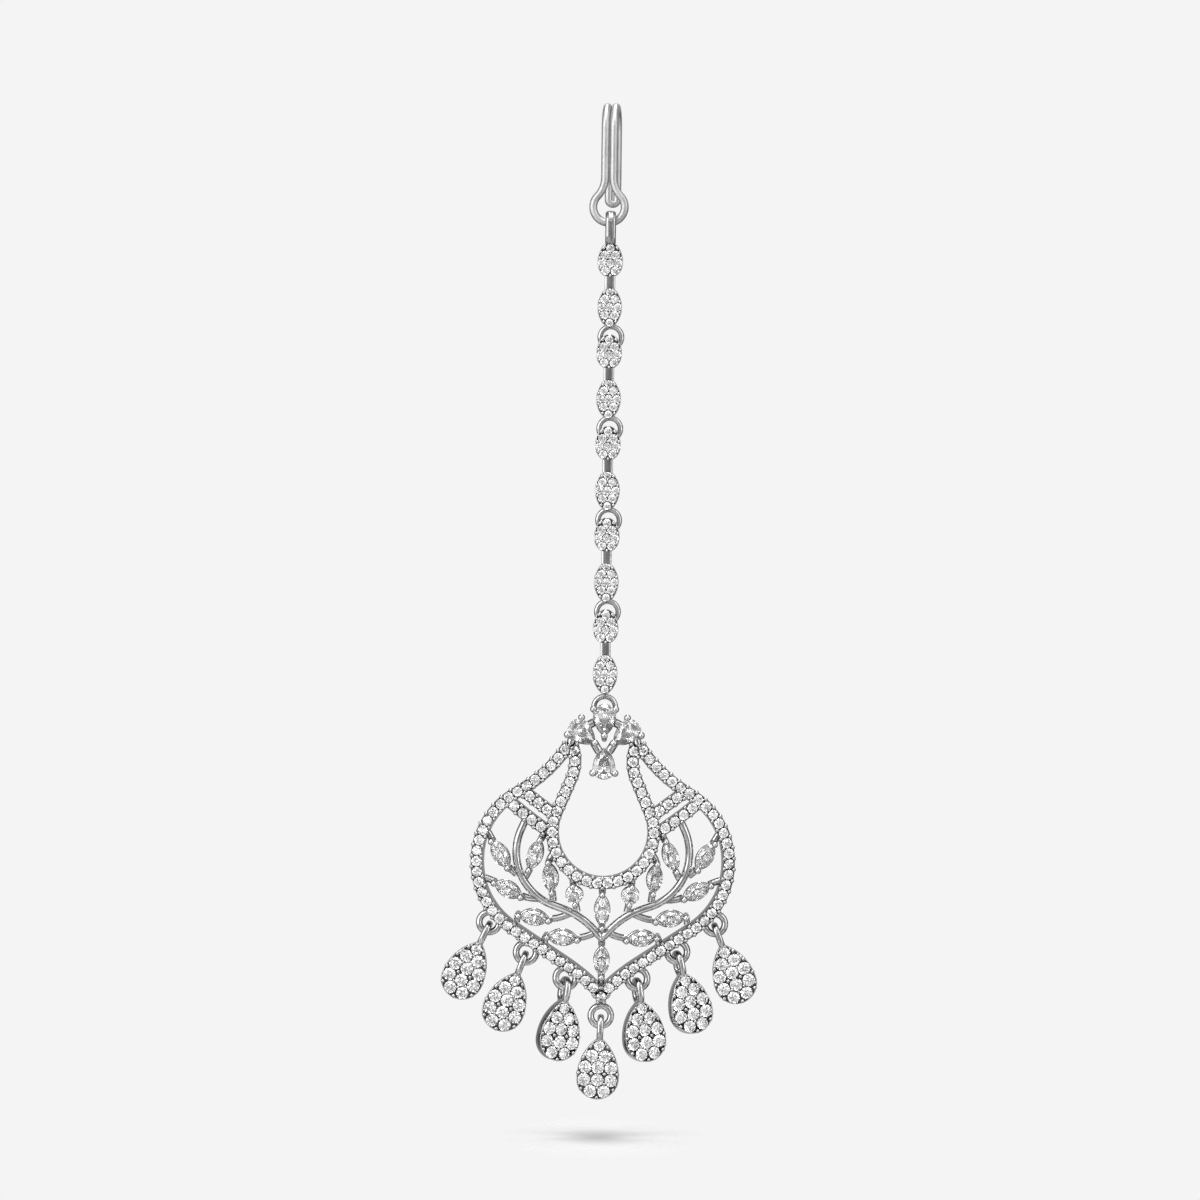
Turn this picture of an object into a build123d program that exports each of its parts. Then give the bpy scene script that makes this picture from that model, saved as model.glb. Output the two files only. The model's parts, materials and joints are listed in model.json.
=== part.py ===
from build123d import *
import math
import os

# Maang tikka: a hair hook, a chain of five paved links and an openwork pendant with seven drops.
# Millimetres. The origin is the inner top of the hook's bend, where it hangs on a lock of hair.
# +X is the right of someone facing the jewel, -Y its front and +Z up.

os.makedirs("parts", exist_ok=True)

# Hook: one closed loop of wire, doubled, bent over and opened into an eye
hook_wire = 1.0
strand_gap = 0.08
hook_bend_radius = 2.3            # inside the bend
eye_radius = 1.97                 # centreline of the round eye
eye_z = -12.15
leg_straight_end_z = -8.5         # where the front strands start to part
back_leg_end_z = -12.0
hook_turn = -5.0                  # the hook stands a little askew, degrees

# Chain
chain_y = -(hook_bend_radius + hook_wire / 2)
link_count = 5
link_pitch = 11.44
first_neck_z = -21.6
link_front = 0.9                  # from the chain's plane forward
link_back = 0.3
bud_width = 3.2                   # the short rounded upper leaf
bud_up = 2.5                      # from the bud's widest place up to its top
bud_down = 1.88
bud_rise = 2.5                    # from the neck's middle up to the bud's widest place
neck_width = 1.46
neck_height = 1.6
leaf_width = 3.1                  # the pointed lower leaf
leaf_length = 5.5
leaf_tip_drop = 5.85              # from the neck's middle down to the leaf's tip
ring_wire = 0.7
ring_radius = 1.34                # centreline of the jump ring soldered behind each tip
ring_drop = 6.8                   # from the neck's middle down to the ring's middle
last_ring_drop = 7.26             # the same on the last link, whose ring carries the pendant
ring_lean = 7.0                   # the ring's foot stands back, degrees
ring_shift = 0.2                  # the chain's rings are soldered a little to the right
solder_depth = 0.1                # how far a soldered ring sinks into its leaf
loop_wire = 0.55
running_gap = 0.12                # between a ring's wire and the loop on it
loop_rounding = 0.42              # share of a loop's wire that its rounded edges take

# Bail of the first link, a strap over the hook's eye
bail_width = 1.34
bail_strap = 0.8
bail_gap = 0.2
bail_straight = 1.6

# Pendant: a shallow dome of paved bands, stems and set stones
dome_radius = 90.0
dome_apex_z = -85.27              # the height that lets the pendant hang balanced on its pivot
dome_ahead_of_pivot = 2.91
dome_reach = 10.0                 # more than the dome's own depth
band_width = 1.5
band_depth = 1.4
stem_width = 1.0
stem_sink = 0.15                  # the stems lie this far under the dome's face
rail_top = 0.75                   # the settings' rails lie this far under the dome's face
rail_bottom = 1.3
rail_wall = 0.45
arm_width = 0.7

# Smooth runs of the right-hand half: a start, a heading, then (length, turn) for each run
outer_band = (
    (4.5, -79.4), -56.8,
    [(7.66, 24.2), (1.6, 0), (9.86, -57.4), (0.25, 0), (9.7, -56.4), (8.35, 0), (5.8, 13.0)],
)
inner_band = ((3.94, -79.44), -110.0, [(4.2, 43), (4.6, 0), (12.52, -113)])
upper_bar = ((10.1, -84.95), -143.1, [(5.2, 0)])
lower_bar = ((12.3, -86.2), -139.0, [(7.2, -8)])
stem = ((9.5, -88.2), -66.0, [(1.9, 0), (11.8, -95), (1.0, 0), (6.5, 36)])
band_tip_z = -110.65
band_tip_radius = 0.9
stem_fork_z = -103.5
stem_foot_z = -103.8

# Stones
girdle = 0.1
crown_rise = 0.42
pavilion_drop = 0.7
table_share = 0.6
culet_share = 0.12
stone_lift = 0.06                 # the girdle's middle above the dome's face
prong_gap = 0.05
marquise_width = 2.0
pear_length = 3.95
pear_width = 2.75

# Marquise and round stones, the right-hand one of each pair; arms run from the stone's two ends
# (name, kind, x, z, lean of the long axis, length, root x, root z, foot x, foot z)
paired_stones = [
    ("outer_upper", "marquise", 12.85, -93.20, -122, 3.80, 14.60, -90.30, 10.75, -95.80),
    ("inner_upper", "marquise", 8.53, -93.20, -70, 4.00, 7.30, -90.30, 9.90, -96.30),
    ("inner_middle", "marquise", 6.55, -96.00, -97, 3.75, 6.10, -92.90, 6.15, -99.20),
    ("outer_middle", "marquise", 11.83, -97.60, -153, 3.70, 15.00, -96.20, 7.60, -98.80),
    ("inner_lower", "marquise", 8.55, -101.05, -172, 3.75, 10.80, -102.00, 4.30, -100.50),
    ("outer_lower", "marquise", 4.95, -103.55, -176, 3.75, 7.20, -105.10, 1.20, -102.60),
    ("accent", "round", 3.53, -98.15, -98, 2.20, 3.70, -95.70, 3.10, -100.50),
]
# Marquise stones on the middle line, from the top
# (name, z, length, root z, foot z)
middle_stones = [
    ("centre_upper", -100.10, 4.20, -96.80, -103.30),
    ("centre_lower", -106.45, 3.75, -103.80, -110.00),
]
# Pear stones of the crown: middle of the round end, and the way the point looks
# (name, x, z, direction)
pear_stones = [
    ("pear_top", 0.0, -75.55, -90.0),
    ("pear_left", -3.22, -77.45, -39.2),
    ("pear_right", 3.22, -77.45, 219.2),
    ("pear_bottom", 0.0, -82.20, 90.0),
]
# Bars of the crown, right-hand ones: (x, z) to (x, z)
crown_bars = [
    ((1.1, -76.3), (2.4, -77.0)),
    ((1.25, -79.0), (0.62, -80.6)),
    ((3.9, -78.0), (4.3, -79.5)),
]
prong_spread = 65.0               # each side of a pear's round end, degrees
small_post = 0.28                 # radii of the prongs' posts and beads
small_bead = 0.34
large_post = 0.35
large_bead = 0.46
small_lean = 0.14                 # how far a bead leans in over its stone
large_lean = 0.12
tip_lean = 0.3
bead_rise = 0.6

# Drops on rings soldered behind the outer band
# (ring x, ring z, where round the ring the drop hangs, lean of the drop, turn about its own upright)
drops = [
    (-14.1, -101.72, -20.0, -26.0, 0.0),
    (-9.45, -105.45, -20.0, -21.0, 0.0),
    (-4.45, -108.6, -5.0, -7.5, 22.0),
    (0.0, -113.3, -1.5, -2.5, 0.0),
    (4.5, -108.62, 2.0, 8.0, 18.0),
    (9.45, -105.15, 8.0, 14.5, 18.0),
    (14.13, -101.6, 16.0, 21.0, 0.0),
]
drop_ring_wire = 0.86
drop_ring_radius = 1.25
drop_wire = 0.84
drop_gap = 0.2
drop_loop_straight = 0.7
drop_length = 7.85
drop_width = 5.35
drop_front = 0.9
drop_back = 0.7
drop_tip_below_ring = 2.6         # from the ring's middle to the drop's tip
tip_ball_z = -111.65              # the little ball between the band's tip and the middle ring
tip_ball_radius = 0.5

# Places worked out from the above
ring_top_y = chain_y + link_back + ring_wire / 2 - solder_depth
ring_middle_y = ring_top_y + ring_radius * math.sin(math.radians(ring_lean))
pivot_y = ring_top_y + 2 * ring_radius * math.sin(math.radians(ring_lean))
ring_half_height = ring_radius * math.cos(math.radians(ring_lean))
pivot_z = first_neck_z - (link_count - 1) * link_pitch - last_ring_drop - ring_half_height
loop_radius = ring_wire / 2 + running_gap + loop_wire / 2
dome_apex_y = pivot_y - dome_ahead_of_pivot
dome_centre = Vector(0, dome_apex_y + dome_radius, dome_apex_z)


def smooth_run(start, heading, runs):
    """A flat line of arcs and straights that meet tangentially."""
    point = Vector(start[0], start[1])
    edges = []
    for length, turn in runs:
        ahead = Vector(1, 0).rotate(Axis.Z, heading)
        if turn == 0:
            edges.append(Line(point, point + ahead * length))
        else:
            edges.append(JernArc(point, ahead, length / abs(math.radians(turn)), turn))
        point = edges[-1] @ 1
        heading += turn
    return Curve() + edges


def bar(start, end, width):
    """A flat straight bar with round ends."""
    middle = (Vector(start) + Vector(end)) / 2
    along = Vector(end) - Vector(start)
    slot = SlotCenterToCenter(along.length, width)
    return Pos(middle.X, middle.Y) * (Rot(0, 0, math.degrees(math.atan2(along.Y, along.X))) * slot)


def marquise(length, width):
    """Two arcs that meet in a point at each end."""
    top = ThreePointArc((-length / 2, 0), (0, width / 2), (length / 2, 0))
    return make_face(top + mirror(top, Plane.XZ))


def pear(length, width):
    """A half round at the left, closed by an arc on each side that meet in a point at the right."""
    radius = width / 2
    centre = radius - length / 2
    rounded = ThreePointArc((centre, radius), (-length / 2, 0), (centre, -radius))
    side = TangentArc((centre, radius), (length / 2, 0), tangent=(1, 0))
    return make_face(Curve() + [rounded, side, mirror(side, Plane.XZ)])


def gem(outline):
    """A cut stone: table, sloping crown, thin girdle and sloping pavilion."""
    crown = loft([Pos(0, 0, girdle / 2) * outline, Pos(0, 0, crown_rise) * scale(outline, table_share)])
    waist = extrude(outline, girdle / 2, both=True)
    foot = Pos(0, 0, -pavilion_drop) * scale(outline, culet_share)
    pavilion = loft([Pos(0, 0, -girdle / 2) * outline, foot])
    return crown + waist + pavilion


def upright_loop(inner_radius, straight, wire, width):
    """A slot-shaped loop standing in the YZ plane, round-edged, its upper bend about the origin."""
    outer = SlotCenterToCenter(straight, 2 * (inner_radius + wire))
    inner = SlotCenterToCenter(straight, 2 * inner_radius)
    flat = Plane.YZ * (Rot(0, 0, 90) * (outer - inner))
    loop = Pos(0, 0, -straight / 2) * extrude(flat, width / 2, both=True)
    return fillet(loop.edges(), loop_rounding * min(wire, width))


def dome_y(x, z):
    """Depth of the dome's face at a place seen from the front."""
    return dome_centre.Y - math.sqrt(dome_radius**2 - x**2 - (z - dome_centre.Z) ** 2)


def on_dome(x, z, direction=0.0):
    """A plane on the dome's face, its normal outward and its X along the given direction."""
    place = Vector(x, dome_y(x, z), z)
    outward = (place - dome_centre).normalized()
    along = Vector(math.cos(math.radians(direction)), 0, math.sin(math.radians(direction)))
    return Plane(place, x_dir=along - outward * along.dot(outward), z_dir=outward)


def dome_layer(flat, top, bottom):
    """A flat drawing's upright prism between two depths under the face, with its mirror image."""
    shell = Pos(dome_centre) * (Sphere(dome_radius - top) - Sphere(dome_radius - bottom))
    half = extrude(Pos(0, dome_apex_y + dome_reach, 0) * (Plane.XZ * flat), 2 * dome_reach) & shell
    return half + mirror(half, Plane.YZ)


def hook():
    """Half of the closed wire loop, carried from the eye's foot to the hairpin's, and its mirror image."""
    strand_x = (hook_wire + strand_gap) / 2
    leg_y = hook_bend_radius + hook_wire / 2
    flare_height = leg_straight_end_z - eye_z
    # the arc that leads a strand outward touches the eye's circle from outside
    flare_radius = (flare_height**2 + strand_x**2 - eye_radius**2) / (2 * (eye_radius - strand_x))
    share = eye_radius / (flare_radius + eye_radius)
    touch = (share * (strand_x + flare_radius), eye_z + share * flare_height)
    eye = RadiusArc((0, eye_z - eye_radius), touch, -eye_radius)
    flare = RadiusArc(touch, (strand_x, leg_straight_end_z), flare_radius)
    front_leg = Line((strand_x, leg_straight_end_z), (strand_x, -hook_bend_radius))
    hairpin_z = back_leg_end_z + hook_wire / 2 + strand_x
    back_leg = Line((strand_x, -hook_bend_radius), (strand_x, hairpin_z))
    hairpin = CenterArc((0, hairpin_z), strand_x, 0, -90)
    over = ThreePointArc(
        (strand_x, -leg_y, -hook_bend_radius),
        (strand_x, 0, hook_wire / 2),
        (strand_x, leg_y, -hook_bend_radius),
    )
    front = [Pos(0, -leg_y, 0) * (Plane.XZ * line) for line in (eye, flare, front_leg)]
    back = [Pos(0, leg_y, 0) * (Plane.XZ * line) for line in (back_leg, hairpin)]
    path = Wire(front + [over] + back)
    strand = sweep(Plane(path @ 0, z_dir=path % 0) * Circle(hook_wire / 2), path=path)
    return Rot(0, 0, hook_turn) * (strand + mirror(strand, Plane.YZ))


def chain_link(index):
    """A bud, a neck and a leaf in one paved plate, its ring, and the loop or bail that carries it."""
    neck_z = first_neck_z - index * link_pitch
    upper = EllipticalCenterArc((0, bud_rise), bud_width / 2, bud_up, arc_size=180)
    lower = EllipticalCenterArc((0, bud_rise), bud_width / 2, bud_down, start_angle=180, arc_size=180)
    bud = make_face(upper + lower)
    leaf = Pos(0, leaf_length / 2 - leaf_tip_drop) * (Rot(0, 0, 90) * marquise(leaf_length, leaf_width))
    flat = bud + leaf + Rectangle(neck_width, neck_height)
    plate = extrude(Pos(0, chain_y + link_back, neck_z) * (Plane.XZ * flat), link_front + link_back)
    ring = Rot(90 + ring_lean, 0, 0) * Torus(ring_radius, ring_wire / 2)
    if index < link_count - 1:
        ring = Pos(ring_shift, ring_middle_y, neck_z - ring_drop) * ring
    else:
        ring = Pos(0, ring_middle_y, neck_z - last_ring_drop) * ring
    if index == 0:
        carrier = upright_loop(hook_wire / 2 + bail_gap, bail_straight, bail_strap, bail_width)
        carrier = Pos(0, chain_y, eye_z - eye_radius) * carrier
    else:
        carrier = rear_loop(neck_z + link_pitch - ring_drop - ring_half_height)
    return plate + ring + carrier


def rear_loop(z):
    """A small loop standing front to back, about the wire of the ring above it."""
    return Pos(0, pivot_y, z) * (Rot(0, 90, 0) * Torus(loop_radius, loop_wire / 2))


def stone_places():
    """Every stone of the pendant: name, outline, plane on the dome and drawn place."""
    places = []
    for name, kind, x, z, lean, length, *_ in paired_stones:
        outline = marquise(length, marquise_width) if kind == "marquise" else Circle(length / 2)
        places.append((f"{kind}_{name}_right", outline, x, z, lean))
        places.append((f"{kind}_{name}_left", outline, -x, z, 180 - lean))
    for name, z, length, *_ in middle_stones:
        places.append((f"marquise_{name}", marquise(length, marquise_width), 0, z, -90))
    for name, x, z, direction in pear_stones:
        ahead = Vector(1, 0).rotate(Axis.Z, direction) * (pear_length - pear_width) / 2
        places.append((name, pear(pear_length, pear_width), x + ahead.X, z + ahead.Y, direction))
    return places


def drawn(outline, x, z, direction):
    """An outline laid in the front drawing."""
    return Pos(x, z) * (Rot(0, 0, direction) * outline)


def prong_places(name, outline):
    """Where a stone's prongs stand in its own drawing: x, y, post, bead and the bead's lean."""
    half = outline.bounding_box().size.X / 2
    if not name.startswith("pear"):
        out = half + small_post + prong_gap
        return [(side * out, 0, small_post, small_bead, small_lean) for side in (-1, 1)]
    out = pear_width / 2 + large_post + prong_gap
    middle = pear_width / 2 - half
    places = []
    for side in (-1, 1):
        angle = math.radians(180 + side * prong_spread)
        spot = (middle + out * math.cos(angle), out * math.sin(angle))
        places.append((*spot, large_post, large_bead, large_lean))
    if name != "pear_bottom":
        places.append((half + large_post + prong_gap, 0, large_post, large_bead, tip_lean))
    return places


def settings_drawing():
    """The rails under the right-hand and middle stones, their prongs' feet and the joining bars."""
    flat = Sketch()
    for name, outline, x, z, direction in stone_places():
        if x < 0:
            continue
        rail = offset(outline, prong_gap) - offset(outline, -rail_wall)
        for foot_x, foot_y, post, _, _ in prong_places(name, outline):
            rail += Pos(foot_x, foot_y) * Circle(post + prong_gap)
        flat += drawn(rail, x, z, direction)
    for _, _, x, z, lean, length, root_x, root_z, foot_x, foot_z in paired_stones:
        along = Vector(1, 0).rotate(Axis.Z, lean) * length / 2
        flat += bar((x - along.X, z - along.Y), (root_x, root_z), arm_width)
        flat += bar((x + along.X, z + along.Y), (foot_x, foot_z), arm_width)
    for _, z, length, root_z, foot_z in middle_stones:
        flat += bar((0, z + length / 2), (0, root_z), arm_width)
        flat += bar((0, z - length / 2), (0, foot_z), arm_width)
    for start, end in crown_bars:
        flat += bar(start, end, arm_width)
    return flat + bar((-pear_width / 2, pivot_z), (pear_width / 2, pivot_z), arm_width)


def prong(plane, x, y, post_radius, bead_radius, lean):
    """A post beside a stone, with a bead that leans over the girdle towards the stone's middle."""
    inward = Vector(x, y).normalized() * -lean
    post = Cylinder(post_radius, rail_bottom + bead_rise, align=(Align.CENTER, Align.CENTER, Align.MIN))
    bead = Pos(x + inward.X, y + inward.Y, bead_rise) * Sphere(bead_radius)
    return plane.location * (Pos(x, y, -rail_bottom) * post + bead)


def prongs():
    """Every prong of the pendant, standing on the dome."""
    posts = []
    for name, outline, x, z, direction in stone_places():
        plane = on_dome(x, z, direction)
        posts += [prong(plane, *place) for place in prong_places(name, outline)]
    return posts


def drop_ring_place(x, z):
    """The middle of a drop's ring, against the back of the band that it is soldered to."""
    inward = (Vector(0, dome_apex_z) - Vector(x, z)).normalized() * drop_ring_radius
    if x == 0:
        return Vector(0, dome_y(0, tip_ball_z) + band_depth / 2, z)
    y = dome_y(x + inward.X, z + inward.Y) + band_depth + drop_ring_wire / 2 - solder_depth
    return Vector(x, y, z)


def pendant_frame():
    """Bands, bars, stems, settings, prongs, rings and the rear loop, soldered into one piece."""
    bands = Pos(0, band_tip_z) * Circle(band_tip_radius)
    for run in (outer_band, inner_band, upper_bar, lower_bar):
        bands += trace(smooth_run(*run), band_width)
    stems = trace(smooth_run(*stem), stem_width)
    stems += bar((0, stem_fork_z), (0, stem_foot_z), stem_width)
    frame = dome_layer(bands, 0, band_depth)
    frame += dome_layer(stems, stem_sink, stem_sink + stem_width)
    frame += dome_layer(settings_drawing(), rail_top, rail_bottom)
    # the rear loop stands on a short post behind the top pear's cross bar
    post_back = pivot_y - loop_radius
    post_front = dome_y(0, pivot_z) + rail_top + prong_gap
    post = Rot(90, 0, 0) * Cylinder(loop_wire / 2, post_back - post_front)
    extras = [rear_loop(pivot_z), Pos(0, (post_back + post_front) / 2, pivot_z) * post]
    extras.append(Pos(0, dome_y(0, tip_ball_z) + band_depth / 2, tip_ball_z) * Sphere(tip_ball_radius))
    for x, z, *_ in drops:
        ring = Rot(90, 0, 0) * Torus(drop_ring_radius, drop_ring_wire / 2)
        extras.append(Pos(drop_ring_place(x, z)) * ring)
    return frame + prongs() + extras


def drop(x, z, hang, lean, turn):
    """A paved teardrop under its own loop, hung low on its ring."""
    loop = upright_loop(drop_ring_wire / 2 + drop_gap, drop_loop_straight, drop_wire, drop_wire)
    tip_z = drop_ring_radius - drop_tip_below_ring
    outline = Pos(0, tip_z - drop_length / 2) * (Rot(0, 0, 90) * pear(drop_length, drop_width))
    body = extrude(Pos(0, drop_back, 0) * (Plane.XZ * outline), drop_front + drop_back)
    foot = drop_ring_radius * Vector(math.sin(math.radians(hang)), 0, -math.cos(math.radians(hang)))
    place = Pos(drop_ring_place(x, z) + foot) * Rot(0, -lean, 0) * Rot(0, 0, turn)
    return place * (body + loop)


export_step(hook(), "parts/hook.step")
for index in range(link_count):
    export_step(chain_link(index), f"parts/chain_link_{index + 1}.step")
export_step(pendant_frame(), "parts/pendant_frame.step")
for name, outline, x, z, direction in stone_places():
    stone = on_dome(x, z, direction).location * (Pos(0, 0, stone_lift) * gem(outline))
    export_step(stone, f"parts/{name}.step")
for index, place in enumerate(drops):
    export_step(drop(*place), f"parts/drop_{index + 1}.step")
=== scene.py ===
import itertools
import json
import math

import bmesh
import bpy
import numpy as np
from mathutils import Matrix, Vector

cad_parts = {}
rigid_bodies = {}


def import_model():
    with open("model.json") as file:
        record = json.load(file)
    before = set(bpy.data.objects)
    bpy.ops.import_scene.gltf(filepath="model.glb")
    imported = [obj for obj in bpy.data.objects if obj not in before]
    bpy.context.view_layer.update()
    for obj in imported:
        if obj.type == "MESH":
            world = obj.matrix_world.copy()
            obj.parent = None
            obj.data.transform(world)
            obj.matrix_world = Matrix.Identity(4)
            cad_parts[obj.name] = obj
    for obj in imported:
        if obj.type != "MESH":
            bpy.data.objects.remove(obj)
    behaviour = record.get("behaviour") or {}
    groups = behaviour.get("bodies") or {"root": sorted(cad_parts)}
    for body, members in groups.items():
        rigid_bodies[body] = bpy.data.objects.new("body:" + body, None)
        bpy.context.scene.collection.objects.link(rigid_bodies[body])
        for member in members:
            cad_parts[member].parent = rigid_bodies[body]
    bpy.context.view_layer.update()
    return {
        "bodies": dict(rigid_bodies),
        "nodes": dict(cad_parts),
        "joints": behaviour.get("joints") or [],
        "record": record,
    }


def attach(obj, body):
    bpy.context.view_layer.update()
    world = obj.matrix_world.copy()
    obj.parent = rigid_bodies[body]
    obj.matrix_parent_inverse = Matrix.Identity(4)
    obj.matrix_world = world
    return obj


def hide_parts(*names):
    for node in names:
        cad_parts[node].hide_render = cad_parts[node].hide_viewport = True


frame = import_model()

# ---- Hair hook --------------------------------------------------------------------------------
# One closed loop of round wire, doubled, bent over to go into the hair and opened at its foot
# into a round eye. Drawn sterling silver, polished and plated with rhodium. Lengths are in mm.
millimetre = 0.001                # in metres
hook_wire = 1.0
strand_gap = 0.08
bend_radius = 2.3
eye_radius = 1.97
eye_z = -12.15
leg_top_z = -8.5
back_leg_end_z = -12.0
hook_turn = -5.0                  # degrees about the upright
wire_sides = 20
hook_step = 0.12                  # between places along the wire


def smooth_run(start, heading, runs, step):
    """Places along arcs and straights that meet tangentially: the heading is the turns so far,
    interpolated along the line, and the place is the running sum of short steps along it."""
    lengths, turns = np.array(runs, float).T
    knots = np.append(0, np.cumsum(lengths))
    headings = np.radians(heading + np.append(0, np.cumsum(turns)))
    along = np.linspace(0, knots[-1], max(2, round(knots[-1] / step)) + 1)
    way = np.interp((along[1:] + along[:-1]) / 2, knots, headings)
    steps = np.diff(along)[:, None] * np.column_stack((np.cos(way), np.sin(way)))
    return np.array(start) + np.vstack(((0, 0), np.cumsum(steps, 0)))


def carried(path, outward, profile, closed=False):
    """A profile carried along a path: its first number goes to the side of each place and its
    second outward, the outward way being made square to the path first."""
    ahead = np.roll(path, -1, 0) - np.roll(path, 1, 0) if closed else np.gradient(path, axis=0)
    ahead /= np.linalg.norm(ahead, axis=1, keepdims=True)
    outward = outward - (outward * ahead).sum(1, keepdims=True) * ahead
    outward /= np.linalg.norm(outward, axis=1, keepdims=True)
    aside = np.cross(ahead, outward)[:, None]
    return path[:, None] + profile[..., :1] * aside + profile[..., 1:] * outward[:, None]


def round_profile(diameter, sides=wire_sides):
    """Even steps round a circle: cosine and sine of each step's angle times the radius."""
    angle = np.arange(sides) * 2 * np.pi / sides
    return np.column_stack((np.cos(angle), np.sin(angle))) * diameter / 2


def skin(grid, closed=False):
    """Four-sided faces between a grid's neighbours. Its columns close on themselves; its rows
    close too if asked, and otherwise a many-sided face fills the first and the last."""
    rows, columns = grid.shape[:2]
    row = np.arange(rows if closed else rows - 1)[:, None]
    here, ahead = row * columns, (row + 1) % rows * columns
    column = np.arange(columns)
    beside = (column + 1) % columns
    faces = np.stack((here + column, ahead + column, ahead + beside, here + beside), -1)
    faces = faces.reshape(-1, 4).tolist()
    if not closed:
        last = (rows - 1) * columns
        faces += [list(range(columns)), list(range(last, last + columns))]
    return grid.reshape(-1, 3), faces


def new_piece(name, parts, material, sharp_above=40.0):
    """One mesh from parts of places in millimetres, faces and, where it has them, how much
    painted shade each place gets, the more the deeper it lies in a recess. Its doubles are merged,
    its faces turned outward, and it is smooth but where neighbouring faces turn by more than the
    angle."""
    starts = np.cumsum([0] + [len(part[0]) for part in parts])
    places = np.concatenate([part[0] for part in parts]) * millimetre
    painted_shade = np.concatenate([part[2] if len(part) > 2 else np.zeros(len(part[0]))
                             for part in parts])
    faces = [[start + corner for corner in face]
             for start, part in zip(starts, parts) for face in part[1]]
    mesh = bpy.data.meshes.new(name)
    mesh.from_pydata(places, [], faces)
    # painted shade: stored per place for the silver materials, which darken their colour with it
    mesh.attributes.new("painted_shade", "FLOAT", "POINT").data.foreach_set("value", painted_shade)
    build = bmesh.new()
    build.from_mesh(mesh)
    bmesh.ops.remove_doubles(build, verts=build.verts, dist=1e-8)
    bmesh.ops.recalc_face_normals(build, faces=build.faces)
    build.to_mesh(mesh)
    build.free()
    mesh.shade_smooth()
    mesh.set_sharp_from_angle(angle=math.radians(sharp_above))
    mesh.materials.append(material)
    made = bpy.data.objects.new(name, mesh)
    bpy.context.scene.collection.objects.link(made)
    return made


class Socket:
    """One socket of a shader's nodes. Sums and products of sockets add Math nodes."""

    def __init__(self, tree, socket=None):
        self.tree, self.socket = tree, socket

    def node(self, kind, settings=(), sockets=(), output=0):
        """Adds a node: its settings come first, then the values or links of its sockets."""
        made = self.tree.nodes.new(kind)
        for name, value in dict(settings).items():
            setattr(made, name, value)
        for name, value in dict(sockets).items():
            if isinstance(value, Socket):
                self.tree.links.new(value.socket, made.inputs[name])
            else:
                made.inputs[name].default_value = value
        return Socket(self.tree, made.outputs[output])

    def maths(self, operation, first, second=0.0):
        """One Math node on two sockets, or on a socket and a number."""
        return self.node("ShaderNodeMath", {"operation": operation}, {0: first, 1: second})

    def __add__(self, other):
        return self.maths("ADD", self, other)

    def __mul__(self, other):
        return self.maths("MULTIPLY", self, other)

    def __sub__(self, other):
        return self.maths("SUBTRACT", self, other)

    def __rsub__(self, other):
        return self.maths("SUBTRACT", other, self)

    __radd__ = __add__
    __rmul__ = __mul__

    def noise(self, scale, detail=2.0):
        """Cloudy values about a half, from places in metres."""
        sockets = {"Vector": self, "Scale": scale, "Detail": detail}
        return self.node("ShaderNodeTexNoise", {"noise_dimensions": "3D"}, sockets)

    def between(self, low, high, start=0.3, end=0.7):
        """This value's share of the way from start to end, as a share from low to high."""
        ends = {"From Min": start, "From Max": end, "To Min": low, "To Max": high}
        return self.node("ShaderNodeMapRange", {"clamp": True}, {"Value": self, **ends})

    def blend(self, low, high):
        """A colour this share of the way from the first colour to the second."""
        settings = {"data_type": "RGBA", "blend_type": "MIX"}
        sockets = {"Factor": self, 6: low, 7: high}
        return self.node("ShaderNodeMix", settings, sockets, 2)


def surface(name, **values):
    """A new material, its surface shader's constants, and places on the piece to draw from."""
    material = bpy.data.materials.new(name)
    material.use_nodes = True
    shader = material.node_tree.nodes["Principled BSDF"]
    for socket, value in values.items():
        shader.inputs[socket.replace("_", " ")].default_value = value
    places = Socket(material.node_tree).node("ShaderNodeTexCoord", output="Object")
    return material, shader, places


def feed(shader, **sockets):
    """Links worked-out values to the surface shader."""
    for name, value in sockets.items():
        value.tree.links.new(value.socket, shader.inputs[name.replace("_", " ")])


def grey(tone, warmth=0.0):
    """A grey, with a little more red than blue if warm."""
    return (tone + warmth, tone, tone, 1.0)


def silver(name, dark, light, smooth, rough, grain):
    """Rhodium-plated silver: soft clouds of tone and polish a few millimetres wide, the faint
    dents and lines that the polishing wheel leaves, and painted shade: a dark grey blended into
    the colour in recesses, where shadow falls."""
    cloud_scale, mark_scale = 420.0, 2600.0
    dent_depth = 0.02 * millimetre
    # painted shade: the dark grey that recesses are painted with, standing in for their shadow
    shade_grey = grey(0.12)
    material, shader, places = surface(name, Metallic=1.0)
    clouds = places.noise(cloud_scale, 3.0)
    marks = places.noise(mark_scale, 4.0)
    polish = (clouds * 0.6 + marks * 0.4).between(smooth, rough)
    # painted shade: each place's share of shadow, from how deep it lies in a recess, blends the
    # tone towards the dark grey
    painted_shade = places.node("ShaderNodeAttribute", {"attribute_name": "painted_shade"}, (), "Fac")
    tone = clouds.between(0.0, 1.0).blend(grey(dark), grey(light))
    feed(shader, Base_Color=painted_shade.blend(tone, shade_grey), Roughness=polish)
    bump = {"Strength": grain, "Distance": dent_depth, "Height": marks}
    feed(shader, Normal=places.node("ShaderNodeBump", (), bump))
    return material


hook_silver = silver("hook_silver", dark=0.45, light=0.55, smooth=0.40, rough=0.52, grain=0.1)

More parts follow.
